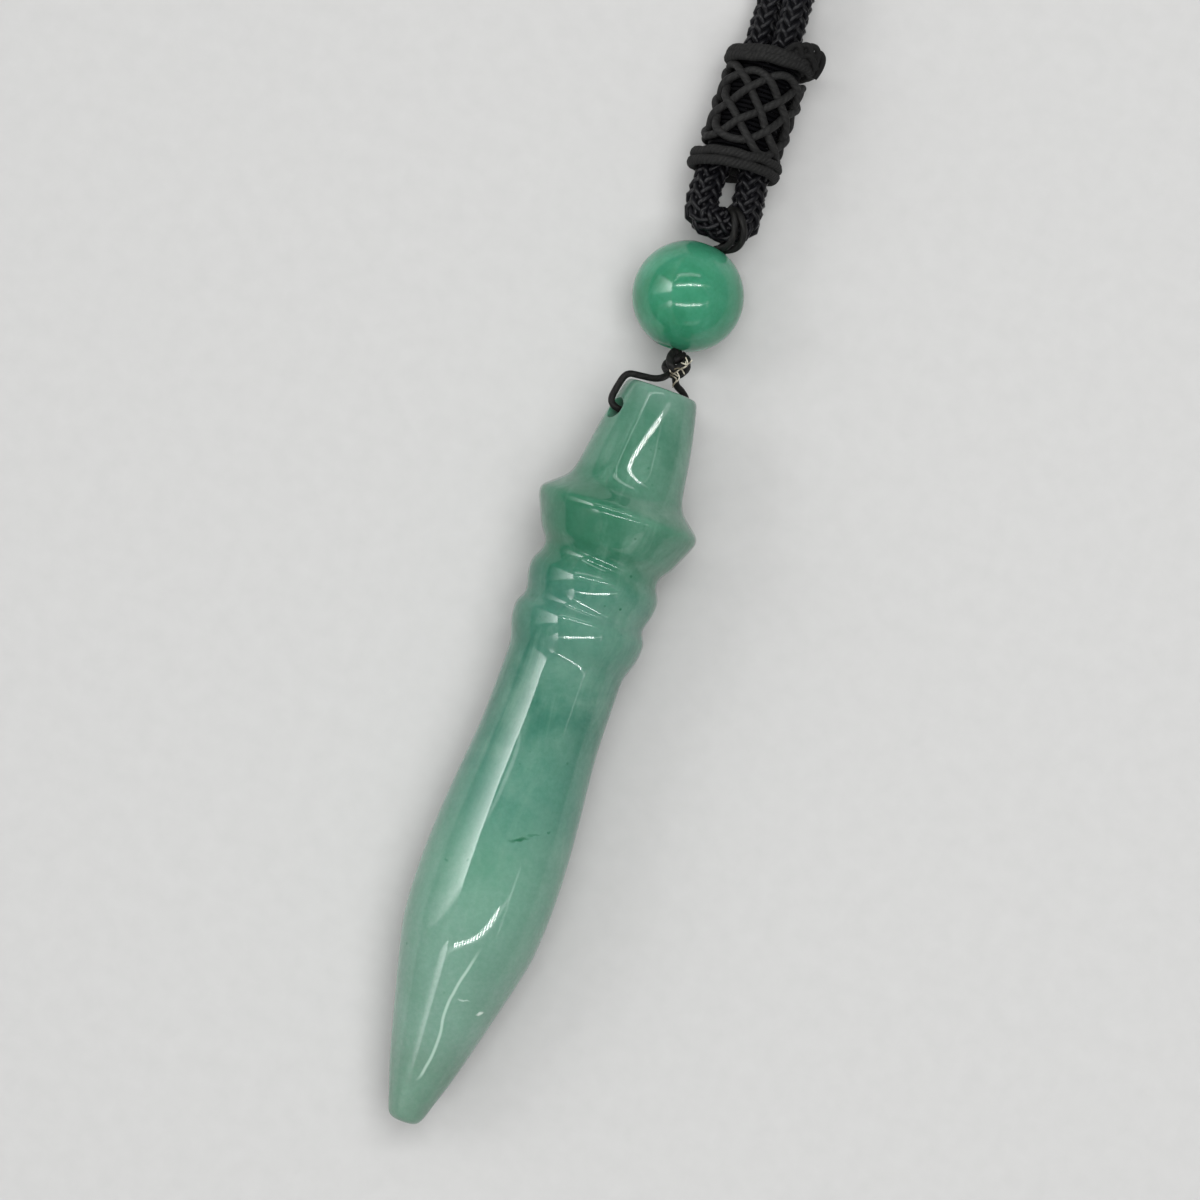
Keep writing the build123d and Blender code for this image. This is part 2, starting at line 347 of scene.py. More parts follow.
def tube_curve(name, lines, radius, material, sides=1, cyclic=False):
    """Round tubes along lines of points, as one curve object."""
    curve = bpy.data.curves.new(name, "CURVE")
    curve.dimensions = "3D"
    curve.bevel_depth = radius
    curve.bevel_resolution = sides
    curve.use_fill_caps = True
    for line in lines:
        spline = curve.splines.new("POLY")
        spline.points.add(len(line) - 1)
        spline.points.foreach_set("co", np.c_[line, np.ones(len(line))].ravel())
        spline.use_cyclic_u = cyclic
    piece = bpy.data.objects.new(name, curve)
    curve.materials.append(material)
    bpy.context.collection.objects.link(piece)
    return piece


fold_swell = 0.17
fold_reach = 5.0 * mm


def braid_lines(path):
    """Centre lines of the braid's strands round a path. The braid opens a little in the fold."""
    forward, normals, sides = carried_frames(path)
    travel = np.concatenate([[0], np.cumsum(np.linalg.norm(np.diff(path, axis=0), axis=1))])
    crossings = 2 * carriers * travel / braid_pitch
    outside = cord_radius * (1 + fold_swell * np.exp(-((travel / fold_reach) ** 2)))
    middle = outside - strand_radius - strand_swing
    lines = []
    for hand in (1, -1):
        for carrier in range(carriers):
            angle = 2 * math.pi * (hand * travel / braid_pitch + carrier / carriers)
            over = np.cos(math.pi / 2 * (2 * carrier + hand * crossings) - math.pi / 4)
            reach = (middle + hand * strand_swing * over)[:, None]
            across = np.cos(angle)[:, None] * normals + np.sin(angle)[:, None] * sides
            lines.append(path + reach * across)
    return lines


def new_group(name, inputs, outputs):
    """Empty shader node group. Gives it with the nodes of its inputs and of its outputs."""
    group = bpy.data.node_groups.new(name, "ShaderNodeTree")
    for side, sockets in (("INPUT", inputs), ("OUTPUT", outputs)):
        for socket, kind in sockets.items():
            group.interface.new_socket(socket, in_out=side, socket_type=f"NodeSocket{kind}")
    return group, group.nodes.new("NodeGroupInput"), group.nodes.new("NodeGroupOutput")


def twisted_strand():
    """Shared effect: the plies and fine fibres of a twisted strand, over its UV map."""
    group, given, result = new_group(
        "twisted strand",
        {
            "Vector": "Vector",
            "Turns": "Float",
            "Plies": "Float",
            "Matt": "Float",
            "Dark": "Color",
            "Light": "Color",
        },
        {"Color": "Color", "Roughness": "Float", "Height": "Float"},
    )
    nodes, links = group.nodes, group.links
    combine = functools.partial(math_node, group)
    place = nodes.new("ShaderNodeSeparateXYZ")
    links.new(given.outputs["Vector"], place.inputs["Vector"])
    along = combine("MULTIPLY", place.outputs["X"], given.outputs["Turns"])
    lay = combine("ADD", along, combine("MULTIPLY", place.outputs["Y"], given.outputs["Plies"]))
    across = combine("SUBTRACT", combine("MULTIPLY", combine("FRACT", lay, 0.0), 2.0), 1.0)
    ply = combine("SUBTRACT", 1.0, combine("MULTIPLY", across, across))
    fibre_place = nodes.new("ShaderNodeCombineXYZ")
    links.new(combine("MULTIPLY", lay, 9.0), fibre_place.inputs["X"])
    links.new(combine("MULTIPLY", along, 1.7), fibre_place.inputs["Y"])
    fibres = nodes.new("ShaderNodeTexNoise")
    fibres.inputs["Scale"].default_value = 1.0
    fibres.inputs["Detail"].default_value = 3
    links.new(fibre_place.outputs["Vector"], fibres.inputs["Vector"])
    spread = range_node(group, fibres.outputs["Fac"], 0.35, 0.75, 0, 1, steps="LINEAR")
    # Painted sheen: the light colour lies on the crowns of the plies, where the fibres spread
    painted_sheen = combine("MULTIPLY", spread, ply)
    shade = colour_mix(group, painted_sheen, given.outputs["Dark"], given.outputs["Light"])
    links.new(shade, result.inputs["Color"])
    rough = combine("SUBTRACT", given.outputs["Matt"], combine("MULTIPLY", spread, 0.12))
    links.new(rough, result.inputs["Roughness"])
    height = combine("ADD", ply, combine("MULTIPLY", fibres.outputs["Fac"], 0.6))
    links.new(height, result.inputs["Height"])
    return group


strand_group = twisted_strand()


def strand_material(name, turns, plies, matt, dark, light, depth, specular):
    """Black strand with its twist along its UV map. The depth is that of its plies."""
    material, nodes, links, shader = new_material(name)
    coordinates = nodes.new("ShaderNodeTexCoord")
    strand = nodes.new("ShaderNodeGroup")
    strand.node_tree = strand_group
    strand.inputs["Turns"].default_value = turns
    strand.inputs["Plies"].default_value = plies
    strand.inputs["Matt"].default_value = matt
    strand.inputs["Dark"].default_value = dark
    strand.inputs["Light"].default_value = light
    links.new(coordinates.outputs["UV"], strand.inputs["Vector"])
    links.new(strand.outputs["Color"], shader.inputs["Base Color"])
    links.new(strand.outputs["Roughness"], shader.inputs["Roughness"])
    bump = nodes.new("ShaderNodeBump")
    bump.inputs["Strength"].default_value = 1.0
    bump.inputs["Distance"].default_value = depth
    links.new(strand.outputs["Height"], bump.inputs["Height"])
    links.new(bump.outputs["Normal"], shader.inputs["Normal"])
    shader.inputs["Specular IOR Level"].default_value = specular
    return material


# Strand colours: a black, and a painted sheen for the crowns of its plies
strand_black = (0.0025, 0.0025, 0.0032, 1)
strand_sheen = (0.011, 0.011, 0.013, 1)
core_shade = (0.0012, 0.0012, 0.0016, 1)
cord_black = strand_material(
    "braided cord",
    turns=420,
    plies=2,
    matt=0.34,
    dark=strand_black,
    light=strand_sheen,
    depth=0.006 * mm,
    specular=0.26,
)
core_black = strand_material(
    "cord core",
    turns=300,
    plies=4,
    matt=0.8,
    dark=core_shade,
    light=strand_black,
    depth=0.02 * mm,
    specular=0.1,
)

for half, route in (("left", left_route), ("right", right_route)):
    path = spline_path(route, strand_step)
    braid = tube_curve(f"braid_{half}", braid_lines(path), strand_radius, cord_black)
    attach(braid, "root")
    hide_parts(f"cord_{half}")
    core = tube_curve(f"braid_core_{half}", [path[::core_every]], core_radius, core_black, sides=4)
    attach(core, "root")


# The sleeve: one smooth black strand woven over and under itself round both halves of the cord,
# with a tight dark winding beneath it, which paints shade into the weave's openings. A ring knot
# of two wound bands closes each end, and holds the halves side by side just above the fold.
sleeve_side = 11.45 * mm
sleeve_start = -98.624 * mm
sleeve_length = 9.3 * mm
sleeve_lift = 0.8 * mm
ring_radius = 3.35 * mm
ring_width = 1.4 * mm
ring_slant = math.radians(8)
weave_radius = 3.12 * mm
weave_gap = 0.15 * mm
weave_leads = 6
weave_bights = 7
weave_strand = 0.29 * mm
weave_swing = 0.14 * mm
weave_turn = math.radians(-17)
weave_steps = 1200
sleeve_tilt = math.asin(sleeve_lift / sleeve_length)
sleeve_top = Vector((0, math.sin(sleeve_tilt), math.cos(sleeve_tilt)))
sleeve_along = Vector((0, math.cos(sleeve_tilt), -math.sin(sleeve_tilt)))
sleeve_foot = Vector((sleeve_side, sleeve_start, ring_radius * math.cos(sleeve_tilt) + sleeve_lift))


def round_sleeve(angles, radii, along):
    """Points round the sleeve: turned right from its top, out from its axis, and along it."""
    across = np.outer(np.sin(angles) * radii, (1, 0, 0)) + np.outer(np.cos(angles) * radii, sleeve_top)
    return np.array(sleeve_foot) + across + np.outer(along, sleeve_along)


def wandering(turn, orders, reach, chance):
    """Closed random wander of a hand-laid strand, as a sum of waves round its turn."""
    waves = [
        chance.normal() * np.sin(order * turn + chance.uniform(0, 2 * math.pi)) for order in orders
    ]
    return reach * np.sum(waves, axis=0) / math.sqrt(len(waves) / 2)


chance = np.random.default_rng(11)
# The sleeve's black, and its painted sheen
sleeve_sheen = (0.026, 0.026, 0.025, 1)
sleeve_dark = (0.009, 0.009, 0.009, 1)
weave_black = strand_material(
    "sleeve strand",
    turns=260,
    plies=3,
    matt=0.75,
    dark=sleeve_dark,
    light=sleeve_sheen,
    depth=0.012 * mm,
    specular=0.25,
)
weave_wander = 0.11 * mm
weave_turning = 0.05
phase = np.linspace(0, 2 * math.pi * weave_bights, weave_steps, endpoint=False)
weave_half = sleeve_length / 2 - ring_width - weave_gap - weave_strand
weave_middle = weave_radius - weave_strand - weave_swing
over = -np.cos(weave_leads * phase) * np.sin(phase) / np.sqrt(np.sin(phase) ** 2 + 0.09)
weave_sway = wandering(phase / weave_bights, range(2, 26), weave_turning, chance)
weave_line = round_sleeve(
    phase * weave_leads / weave_bights + weave_turn + weave_sway,
    weave_middle + weave_swing * over,
    sleeve_length / 2
    + weave_half * (0.94 * np.cos(phase) + 0.06 * np.cos(3 * phase))
    + wandering(phase / weave_bights, range(2, 26), weave_wander, chance),
)
weave = tube_curve("sleeve_weave_strand", [weave_line], weave_strand, weave_black, sides=4, cyclic=True)
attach(weave, "root")
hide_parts("sleeve_weave")

# Painted shade: a dark winding under the weave darkens its openings
shade_winding_strand = 0.16 * mm
shade_winding_radius = 2.2 * mm
shade_winding_turns = 22
shade_winding_turn = np.linspace(0, 2 * math.pi * shade_winding_turns, 48 * shade_winding_turns)
shade_winding_line = round_sleeve(
    shade_winding_turn,
    np.full_like(shade_winding_turn, shade_winding_radius),
    np.linspace(ring_width / 2, sleeve_length - ring_width / 2, len(shade_winding_turn)),
)
shade_winding = tube_curve("sleeve_shade_winding", [shade_winding_line], shade_winding_strand, core_black, sides=2)
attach(shade_winding, "root")

inner_band = 2.3 * mm
band_turn = np.linspace(0, 2 * math.pi, 144, endpoint=False)
band_wander = 0.035 * mm
band_dents = 0.03 * mm
band_black = strand_material(
    "ring knot strand",
    turns=60,
    plies=4,
    matt=0.85,
    dark=sleeve_dark,
    light=sleeve_sheen,
    depth=0.03 * mm,
    specular=0.2,
)
rings = {
    "lower": {"start": 0, "strand": 0.37 * mm, "half_gap": 0.34 * mm},
    "upper": {"start": sleeve_length - ring_width, "strand": 0.42 * mm, "half_gap": 0.21 * mm},
}
for end, ring in rings.items():
    outer = ring_radius - ring["strand"]
    bands = []
    for place, reach in ((-ring["half_gap"], outer), (ring["half_gap"], outer), (0, inner_band)):
        wave = wandering(band_turn, range(2, 12), band_wander, chance)
        dents = np.abs(wandering(band_turn, range(3, 16), band_dents, chance))
        slope = reach * math.tan(ring_slant) * np.sin(band_turn)
        along = ring["start"] + ring_width / 2 + place + wave + slope
        bands.append(round_sleeve(band_turn, reach - dents, along))
    knot = tube_curve(f"ring_knot_{end}", bands, ring["strand"], band_black, sides=4, cyclic=True)
    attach(knot, "root")
    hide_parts(f"sleeve_{end}_ring")

# The upper ring's strand ends in a small frayed tuft on its right side
tuft_routes = [
    [(12.2, -89.6, 5.9), (12.4, -88.7, 6.3), (13.1, -88.5, 6.4), (13.4, -89.2, 6.0)],
    [(12.8, -89.5, 6.0), (13.0, -88.5, 6.2), (13.8, -88.2, 6.1), (14.1, -89.2, 5.6)],
    [
        (13.3, -89.6, 5.6), (13.4, -88.4, 6.0), (14.15, -88.1, 5.6),
        (14.6, -88.9, 5.0), (14.4, -89.9, 4.6),
    ],
    [
        (13.9, -89.5, 5.2), (14.25, -88.4, 5.4), (14.85, -88.5, 4.7),
        (14.95, -89.4, 4.2), (14.7, -90.1, 3.9),
    ],
    [(13.1, -89.5, 5.8), (13.6, -88.9, 6.1), (14.2, -89.0, 5.6), (14.6, -89.6, 4.9)],
]
tuft_radius = 0.22 * mm
tuft_lines = [spline_path(route, 0.06 * mm) for route in tuft_routes]
tuft = tube_curve("ring_knot_tuft", tuft_lines, tuft_radius, band_black, sides=2)
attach(tuft, "root")


# The join at the back of the cord: the two ends are butted together and bound with one close
# winding of the same thin black thread. It is hidden in the photo, so it is kept plain.
join_middle = left_route[-1]
join_length = 9.0 * mm
join_radius = 1.8 * mm
binding_strand = 0.21 * mm
binding_turns = 21
binding_steps = 36
binding_taper = 0.16
binding_turn = np.linspace(0, 2 * math.pi * binding_turns, binding_steps * binding_turns)
binding_place = np.linspace(-1, 1, len(binding_turn)) * (join_length / 2 - binding_strand)
binding_round = 1 - binding_taper * np.linspace(-1, 1, len(binding_turn)) ** 8
binding_reach = (join_radius - binding_strand) * binding_round
binding_line = np.array(join_middle) * mm + np.stack(
    [binding_place, binding_reach * np.sin(binding_turn), binding_reach * np.cos(binding_turn)], axis=1
)
join_black = strand_material(
    "join thread",
    turns=200,
    plies=3,
    matt=0.6,
    dark=strand_black,
    light=strand_sheen,
    depth=0.02 * mm,
    specular=0.3,
)
binding = tube_curve("join_binding", [binding_line], binding_strand, join_black, sides=3)
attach(binding, "root")
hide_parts("back_join")


# The stone: a drop of green aventurine, turned on a lathe and polished. It has a tapered neck
# drilled across for the thread, a sharp flange, two round rings, a long shaft that swells into
# a bulb, and a blunt point. Its outline is spun round its axis.
stone_length = 55.0 * mm
flange_radius = 5.88 * mm
flange_place = 9.57 * mm
bulb_radius = 5.06 * mm
bulb_place = 37.0 * mm
stone_tilt = math.atan2(flange_radius - bulb_radius, bulb_place - flange_place)
stone_top = Vector((
    12.0 * mm,
    -114.824 * mm,
    flange_radius * math.cos(stone_tilt) + flange_place * math.sin(stone_tilt),
))
stone_turn = Matrix.Translation(stone_top) @ Matrix.Rotation(stone_tilt, 4, "X")

# Distance down from the top and radius, in millimetres, as control points of its smooth outline
stone_outline = [
    (0.0, 0.0),
    (0.0, 1.1),
    (0.0, 2.1),
    (0.04, 2.5),
    (0.4, 2.7),
    (0.9, 2.83),
    (1.6, 3.0),
    (2.3, 3.16),
    (3.1, 3.325),
    (4.0, 3.495),
    (5.0, 3.66),
    (6.0, 3.805),
    (6.45, 3.87),
    (6.85, 3.945),
    (7.2, 4.035),
    (7.5, 4.14),
    (7.8, 4.3),
    (8.12, 4.6),
    (8.5, 5.06),
    (8.8, 5.42),
    (9.04, 5.69),
    (9.3, 5.86),
    (9.66, 5.88),
    (10.1, 5.73),
    (10.6, 5.51),
    (11.3, 5.19),
    (12.0, 4.88),
    (12.4, 4.55),
    (12.75, 4.33),
    (13.0, 4.26),
    (13.2, 4.25),
    (13.4, 4.285),
    (13.6, 4.355),
    (13.8, 4.455),
    (14.0, 4.565),
    (14.2, 4.655),
    (14.4, 4.715),
    (14.6, 4.745),
    (14.85, 4.745),
    (15.1, 4.725),
    (15.35, 4.69),
    (15.6, 4.64),
    (15.85, 4.57),
    (16.1, 4.495),
    (16.35, 4.435),
    (16.55, 4.41),
    (16.72, 4.415),
    (16.9, 4.46),
    (17.1, 4.57),
    (17.3, 4.685),
    (17.5, 4.765),
    (17.7, 4.795),
    (18.0, 4.8),
    (18.3, 4.785),
    (18.6, 4.745),
    (18.9, 4.685),
    (19.2, 4.61),
    (19.5, 4.51),
    (19.8, 4.4),
    (20.1, 4.3),
    (20.35, 4.25),
    (20.6, 4.225),
    (21.1, 4.205),
    (22.2, 4.22),
    (24.0, 4.24),
    (26.0, 4.27),
    (27.6, 4.41),
    (29.5, 4.6),
    (31.4, 4.79),
    (33.2, 4.93),
    (35.5, 5.05),
    (38.0, 5.075),
    (40.3, 4.95),
    (41.6, 4.8),
    (42.9, 4.5),
    (44.2, 4.19),
    (46.2, 3.67),
    (49.0, 2.96),
    (51.5, 2.28),
    (53.2, 1.68),
    (54.1, 1.42),
    (54.6, 1.22),
    (54.93, 0.9),
    (55.0, 0.45),
    (55.0, 0.0),
]
stone_steps = 128
bore_radius = 0.8 * mm
bore_reach = 6.0 * mm
bore_depth = 2.4 * mm
bore_turn = math.radians(30)


def spun(name, chain, steps):
    """Mesh of a chain of edges spun round the Y axis, closed at its poles and smooth shaded."""
    bmesh.ops.spin(
        chain,
        geom=chain.verts[:] + chain.edges[:],
        cent=(0, 0, 0),
        axis=(0, 1, 0),
        angle=2 * math.pi,
        steps=steps,
        use_merge=True,
        use_duplicate=False,
    )
    bmesh.ops.remove_doubles(chain, verts=chain.verts, dist=0.001 * mm)
    bmesh.ops.recalc_face_normals(chain, faces=chain.faces)
    for face in chain.faces:
        face.smooth = True
    mesh = bpy.data.meshes.new(name)
    chain.to_mesh(mesh)
    chain.free()
    return mesh


def drilled(piece, start, end, radius):
    """Bore cut right through a piece from one point to another, and applied."""
    cutter_shape = bmesh.new()
    bmesh.ops.create_cone(
        cutter_shape,
        cap_ends=True,
        segments=48,
        radius1=radius,
        radius2=radius,
        depth=(end - start).length,
    )
    turn = (end - start).to_track_quat("Z", "Y").to_matrix().to_4x4()
    cutter_shape.transform(Matrix.Translation((start + end) / 2) @ turn)
    cutter_mesh = bpy.data.meshes.new("drill")
    cutter_shape.to_mesh(cutter_mesh)
    cutter = bpy.data.objects.new("drill", cutter_mesh)
    bpy.context.collection.objects.link(cutter)
    cut = piece.modifiers.new("bore", "BOOLEAN")
    cut.object = cutter
    cut.operation = "DIFFERENCE"
    cut.solver = "EXACT"
    bpy.context.view_layer.update()
    evaluated = piece.evaluated_get(bpy.context.evaluated_depsgraph_get())
    finished = bpy.data.meshes.new_from_object(evaluated)
    piece.modifiers.clear()
    piece.data = finished
    bpy.data.objects.remove(cutter)


def cloudy_stone():
    """Shared effect: clouds, wisps and dark flecks inside a stone, over a base colour."""
    group, given, result = new_group(
        "cloudy stone",
        {
            "Vector": "Vector",
            "Base": "Color",
            "Pale": "Color",
            "Scale": "Float",
            "Clouds": "Float",
            "Flecks": "Float",
        },
        {"Color": "Color", "Height": "Float"},
    )
    nodes, links = group.nodes, group.links
    combine = functools.partial(math_node, group)
    remap = functools.partial(range_node, group, steps="LINEAR")

    def noise(vector, times, detail, roughness, distortion):
        node = nodes.new("ShaderNodeTexNoise")
        node.inputs["Detail"].default_value = detail
        node.inputs["Roughness"].default_value = roughness
        node.inputs["Distortion"].default_value = distortion
        links.new(vector, node.inputs["Vector"])
        links.new(combine("MULTIPLY", given.outputs["Scale"], times), node.inputs["Scale"])
        return node.outputs["Fac"]

    vector = given.outputs["Vector"]
    stretched = nodes.new("ShaderNodeMapping")
    stretched.inputs["Scale"].default_value = (1.0, 0.3, 1.0)
    stretched.inputs["Rotation"].default_value = (0.2, 0.1, 0.25)
    links.new(vector, stretched.inputs["Vector"])
    clouds = remap(noise(vector, 1.0, 4, 0.55, 0.5), 0.42, 0.72, 0, 1)
    wisps = remap(noise(stretched.outputs["Vector"], 2.6, 5, 0.6, 1.2), 0.5, 0.75, 0, 1)
    deep = remap(noise(vector, 0.7, 3, 0.5, 0.3), 0.48, 0.3, 0, 1)
    grain = noise(vector, 16.0, 3, 0.7, 0.0)
    waves = noise(vector, 2.4, 1, 0.4, 0.0)
    milky = combine("ADD", clouds, combine("MULTIPLY", wisps, 0.6))
    amount = combine("MULTIPLY", milky, given.outputs["Clouds"])
    colour = colour_mix(group, amount, given.outputs["Base"], given.outputs["Pale"])
    deep = combine("MULTIPLY", deep, given.outputs["Clouds"])
    colour = colour_mix(group, deep, colour, (0.62, 0.8, 0.7, 1), "MULTIPLY")
    grains = remap(grain, 0.35, 0.7, 0.6, 0)
    colour = colour_mix(group, grains, colour, (0.75, 0.85, 0.8, 1), "MULTIPLY")
    cells = nodes.new("ShaderNodeTexVoronoi")
    cells.inputs["Randomness"].default_value = 1.0
    links.new(vector, cells.inputs["Vector"])
    links.new(combine("MULTIPLY", given.outputs["Scale"], 5.0), cells.inputs["Scale"])
    fleck = remap(cells.outputs["Distance"], 0.12, 0.05, 0, 1)
    patch = remap(noise(vector, 1.4, 2, 0.5, 0.0), 0.52, 0.66, 0, 1)
    fleck = combine("MULTIPLY", combine("MULTIPLY", fleck, patch), given.outputs["Flecks"])
    colour = colour_mix(group, fleck, colour, (0.012, 0.1, 0.05, 1))
    links.new(colour, result.inputs["Color"])
    links.new(combine("ADD", combine("MULTIPLY", grain, 0.04), waves), result.inputs["Height"])
    return group


polish_waves = 0.009 * mm


def stone_finish(name, group_tree, place, turn, base, pale, scale, clouds, flecks, glow, polish):
    """Polished translucent stone. The pattern is read in the piece's own frame."""
    material, nodes, links, shader = new_material(name)
    coordinates = nodes.new("ShaderNodeTexCoord")
    mapping = nodes.new("ShaderNodeMapping")
    mapping.vector_type = "TEXTURE"
    mapping.inputs["Location"].default_value = place
    mapping.inputs["Rotation"].default_value = turn
    links.new(coordinates.outputs["Object"], mapping.inputs["Vector"])
    cloudy = nodes.new("ShaderNodeGroup")
    cloudy.node_tree = group_tree
    cloudy.inputs["Base"].default_value = base
    cloudy.inputs["Pale"].default_value = pale
    cloudy.inputs["Scale"].default_value = scale
    cloudy.inputs["Clouds"].default_value = clouds
    cloudy.inputs["Flecks"].default_value = flecks
    links.new(mapping.outputs["Vector"], cloudy.inputs["Vector"])
    links.new(cloudy.outputs["Color"], shader.inputs["Base Color"])
    bump = nodes.new("ShaderNodeBump")
    bump.inputs["Strength"].default_value = 1.0
    bump.inputs["Distance"].default_value = polish_waves
    links.new(cloudy.outputs["Height"], bump.inputs["Height"])
    links.new(bump.outputs["Normal"], shader.inputs["Normal"])
    shader.inputs["Roughness"].default_value = polish
    shader.inputs["IOR"].default_value = 1.54
    shader.inputs["Subsurface Weight"].default_value = glow
    shader.inputs["Subsurface Radius"].default_value = (0.5, 1.0, 0.7)
    shader.inputs["Subsurface Scale"].default_value = 1.5 * mm
    return material, nodes, links, shader, mapping, cloudy


cloudy_group = cloudy_stone()
stone, stone_nodes, stone_links, stone_shader, stone_mapping, stone_cloudy = stone_finish(
    "green aventurine",
    cloudy_group,
    place=stone_top,
    turn=(stone_tilt, 0, 0),
    base=(0.05, 0.18, 0.12, 1),
    pale=(0.2, 0.34, 0.27, 1),
    scale=170.0,
    clouds=0.45,
    flecks=0.8,
    glow=0.5,
    polish=0.05,
)

# Base colour along the stone, by distance down from its top in millimetres: it gets milkier
milk = [
    (0.0, (0.130, 0.240, 0.188)),
    (0.9, (0.098, 0.210, 0.156)),
    (2.4, (0.067, 0.184, 0.126)),
    (5.5, (0.062, 0.180, 0.120)),
    (8.5, (0.038, 0.160, 0.096)),
    (12.5, (0.033, 0.153, 0.091)),
    (16.0, (0.042, 0.166, 0.120)),
    (24.0, (0.044, 0.160, 0.115)),
    (30.0, (0.080, 0.218, 0.163)),
    (37.0, (0.128, 0.278, 0.207)),
    (42.0, (0.160, 0.290, 0.228)),
    (47.0, (0.188, 0.306, 0.250)),
    (51.0, (0.164, 0.264, 0.210)),
    (55.0, (0.138, 0.230, 0.176)),
]
stone_tree = stone.node_tree
stone_place = stone_nodes.new("ShaderNodeSeparateXYZ")
stone_links.new(stone_mapping.outputs["Vector"], stone_place.inputs["Vector"])
down_share = range_node(stone_tree, stone_place.outputs["Y"], 0, -stone_length, 0, 1, steps="LINEAR")
ramp = stone_nodes.new("ShaderNodeValToRGB")
ramp.color_ramp.interpolation = "EASE"
while len(ramp.color_ramp.elements) < len(milk):
    ramp.color_ramp.elements.new(0.5)
for element, (place, colour) in zip(ramp.color_ramp.elements, milk):
    element.position = place * mm / stone_length
    element.color = (*colour, 1)
stone_links.new(down_share, ramp.inputs["Fac"])
stone_links.new(ramp.outputs["Color"], stone_cloudy.inputs["Base"])

# Marks inside the stone, seen from its upper side: a dark green splinter and two small pale squiggles.
# Each is an ellipsoid: middle and half sizes in millimetres, turn in degrees, colour and share.
marks = [
    ((1.08, -33.4, 3.9), (0.85, 0.17, 1.6), 28, (0.012, 0.11, 0.05), 0.9),
    ((1.95, -32.75, 4.0), (0.6, 0.12, 1.2), 26, (0.02, 0.14, 0.07), 0.45),
    ((-1.75, -35.9, 4.2), (0.12, 0.2, 1.2), 0, (0.01, 0.12, 0.06), 0.5),
    ((-3.2, -36.4, 3.6), (0.15, 0.12, 1.2), 0, (0.01, 0.12, 0.06), 0.45),
    ((2.9, -32.2, 3.6), (0.12, 0.12, 1.2), 0, (0.01, 0.12, 0.06), 0.5),
    ((1.25, -45.3, 3.2), (0.45, 0.09, 1.2), 12, (0.55, 0.66, 0.6), 0.5),
    ((2.62, -45.85, 2.4), (0.28, 0.14, 1.2), 35, (0.7, 0.78, 0.72), 0.7),
]
mark_inside = 0.45
mark_outside = 1.25
ragged_shift = (0.3 * mm, 0.3 * mm, 0)
ragged = stone_nodes.new("ShaderNodeTexNoise")
ragged.inputs["Scale"].default_value = 2600.0
stone_links.new(stone_mapping.outputs["Vector"], ragged.inputs["Vector"])
shifted = stone_nodes.new("ShaderNodeVectorMath")
shifted.operation = "MULTIPLY_ADD"
shifted.inputs[1].default_value = ragged_shift
stone_links.new(ragged.outputs["Color"], shifted.inputs[0])
stone_links.new(stone_mapping.outputs["Vector"], shifted.inputs[2])
colour = stone_cloudy.outputs["Color"]
for middle, sizes, turn, shade, strength in marks:
    spot = stone_nodes.new("ShaderNodeMapping")
    spot.vector_type = "TEXTURE"
    spot.inputs["Location"].default_value = Vector(middle) * mm + Vector(ragged_shift) / 2
    spot.inputs["Rotation"].default_value = (0, 0, math.radians(turn))
    spot.inputs["Scale"].default_value = [value * mm for value in sizes]
    stone_links.new(shifted.outputs["Vector"], spot.inputs["Vector"])
    reach = stone_nodes.new("ShaderNodeVectorMath")
    reach.operation = "LENGTH"
    stone_links.new(spot.outputs["Vector"], reach.inputs[0])
    mask = range_node(stone_tree, reach.outputs["Value"], mark_outside, mark_inside, 0, strength)
    colour = colour_mix(stone_tree, mask, colour, (*shade, 1))

# A painted reflection, a pale line on the taper's upper side, winds down it: its side of the axis, by
# distance down, in millimetres
reflection_line = [
    (41.5, 1.17),
    (43.0, 0.84),
    (45.05, 0.41),
    (46.5, 0.28),
    (48.4, 0.48),
    (50.7, 0.28),
    (51.7, 0.03),
]
reflection_inside = 0.03 * mm
reflection_outside = 0.16 * mm
reflection_strength = 0.55
reflection_pale = (0.52, 0.66, 0.58, 1)
reflection_curve = stone_nodes.new("ShaderNodeFloatCurve")
points = reflection_curve.mapping.curves[0].points
for place, side in reflection_line[1:-1]:
    points.new(place * mm / stone_length, side / 2)
points[0].location = (reflection_line[0][0] * mm / stone_length, reflection_line[0][1] / 2)
points[-1].location = (reflection_line[-1][0] * mm / stone_length, reflection_line[-1][1] / 2)
reflection_curve.mapping.update()
stone_math = functools.partial(math_node, stone_tree)
stone_links.new(down_share, reflection_curve.inputs["Value"])
reflection_side = stone_math("MULTIPLY", reflection_curve.outputs["Value"], 2 * mm)
reflection_reach = stone_math("ABSOLUTE", stone_math("SUBTRACT", stone_place.outputs["X"], reflection_side), 0.0)
reflection_mask = range_node(stone_tree, reflection_reach, reflection_outside, reflection_inside, 0, reflection_strength)
for value, start, end in (
    (stone_place.outputs["Z"], 0.0, 0.8),
    (stone_place.outputs["Y"], -41.2, -43.2),
    (stone_place.outputs["Y"], -52.0, -51.0),
):
    fade = range_node(stone_tree, value, start * mm, end * mm, 0, 1)
    reflection_mask = stone_math("MULTIPLY", reflection_mask, fade)
# Painted reflection: the pale line is mixed into the stone's colour, on its upper side only
colour = colour_mix(stone_tree, reflection_mask, colour, reflection_pale)
stone_links.new(colour, stone_shader.inputs["Base Color"])

